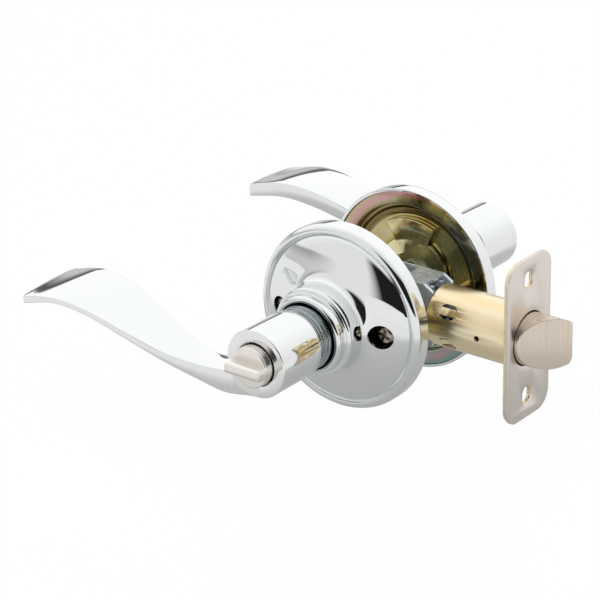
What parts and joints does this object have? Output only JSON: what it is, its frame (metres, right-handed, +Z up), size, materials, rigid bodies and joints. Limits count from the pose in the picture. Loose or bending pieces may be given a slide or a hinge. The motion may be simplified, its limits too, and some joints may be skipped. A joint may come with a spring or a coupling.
{
  "type": "door lever handle",
  "caption": "Privacy door lever set: mirrored wave levers on round roses, turn button, and a tubular spring latch with a faceplate and bevelled bolt.",
  "frame": {"origin": "where the spindle axis crosses the latch axis, at the middle of the door's thickness", "axes": "+Z up; +X along the latch towards the door edge; -Y towards the room side with the turn button; +Y outside"},
  "size_m": [0.168, 0.1516, 0.0652],
  "materials": {
    "polished_chrome": "polished chrome plate on cast zinc",
    "yellow_zinc_steel": "yellow dichromate zinc plate on steel",
    "satin_nickel": "satin nickel plate on steel",
    "zinc_steel": "bright zinc plate on steel",
    "spring_steel": "oiled spring steel",
    "bearing_nylon": "moulded black nylon"
  },
  "bodies": {
    "door_fixed": {"inside_rose": "polished_chrome", "inside_mounting_plate": "yellow_zinc_steel", "inside_collar_bush": "bearing_nylon", "inside_return_spring": "spring_steel", "outside_rose": "polished_chrome", "outside_mounting_plate": "yellow_zinc_steel", "outside_collar_bush": "bearing_nylon", "outside_return_spring": "spring_steel", "mounting_screws": "zinc_steel", "screw_posts": "yellow_zinc_steel", "latch_tube": "yellow_zinc_steel", "latch_back_plate": "yellow_zinc_steel", "latch_faceplate": "satin_nickel", "latch_case_near": "zinc_steel", "latch_case_far": "zinc_steel", "case_rivets": "zinc_steel", "spring_seat": "zinc_steel", "latch_spring": "spring_steel"},
    "inside_handle": {"inside_lever": "polished_chrome", "inside_spindle_sleeve": "yellow_zinc_steel", "inside_spring_driver": "yellow_zinc_steel", "inside_retaining_ring": "spring_steel", "inside_catch_spring": "spring_steel"},
    "outside_handle": {"outside_lever": "polished_chrome", "outside_spindle_sleeve": "yellow_zinc_steel", "outside_spring_driver": "yellow_zinc_steel", "outside_retaining_ring": "spring_steel", "outside_catch_spring": "spring_steel", "spindle": "zinc_steel"},
    "inside_catch": {"inside_lever_catch": "yellow_zinc_steel"},
    "outside_catch": {"outside_lever_catch": "yellow_zinc_steel"},
    "privacy_lock": {"turn_button": "satin_nickel", "privacy_bar": "zinc_steel", "emergency_release_plug": "zinc_steel"},
    "cam": {"latch_cam": "zinc_steel"},
    "bolt": {"latch_bolt": "satin_nickel", "bolt_tail": "zinc_steel", "tail_pins": "zinc_steel"}
  },
  "joints": [
    {"name": "inside_lever_turn", "type": "hinge", "parent": "door_fixed", "child": "inside_handle", "pos_m": [0, 0, 0], "axis": [0, -1, 0], "range_deg": [0, 50], "stiffness_Nm_per_rad": 0.4, "springref_deg": -34.38, "deforming": ["inside_return_spring"]},
    {"name": "outside_lever_turn", "type": "hinge", "parent": "door_fixed", "child": "outside_handle", "pos_m": [0, 0, 0], "axis": [0, -1, 0], "range_deg": [0, 50], "stiffness_Nm_per_rad": 0.4, "springref_deg": -34.38, "deforming": ["outside_return_spring"]},
    {"name": "latch_cam_turn", "type": "hinge", "parent": "door_fixed", "child": "cam", "pos_m": [0, 0, 0], "axis": [0, -1, 0], "range_deg": [0, 50]},
    {"name": "bolt_retract", "type": "slide", "parent": "door_fixed", "child": "bolt", "axis": [-1, 0, 0], "range_m": [0, 0.0127], "stiffness_N_per_m": 300, "springref_m": -0.02, "deforming": ["latch_spring"]},
    {"name": "turn_button_turn", "type": "hinge", "parent": "inside_handle", "child": "privacy_lock", "pos_m": [0, -0.068, 0], "axis": [0, -1, 0], "range_deg": [0, 90]},
    {"name": "inside_catch_press", "type": "slide", "parent": "inside_handle", "child": "inside_catch", "axis": [0.9511, 0, -0.309], "range_m": [0, 0.002], "stiffness_N_per_m": 800, "springref_m": -0.002, "deforming": ["inside_catch_spring"]},
    {"name": "outside_catch_press", "type": "slide", "parent": "outside_handle", "child": "outside_catch", "axis": [0.9511, 0, -0.309], "range_m": [0, 0.002], "stiffness_N_per_m": 800, "springref_m": -0.002, "deforming": ["outside_catch_spring"]}
  ],
  "couplings": [
    {"joint": "outside_lever_turn", "follows": "inside_lever_turn", "ratio": 1},
    {"joint": "latch_cam_turn", "follows": "inside_lever_turn", "ratio": 1},
    {"joint": "bolt_retract", "follows": "inside_lever_turn", "m_per_rad": 0.014553}
  ]
}
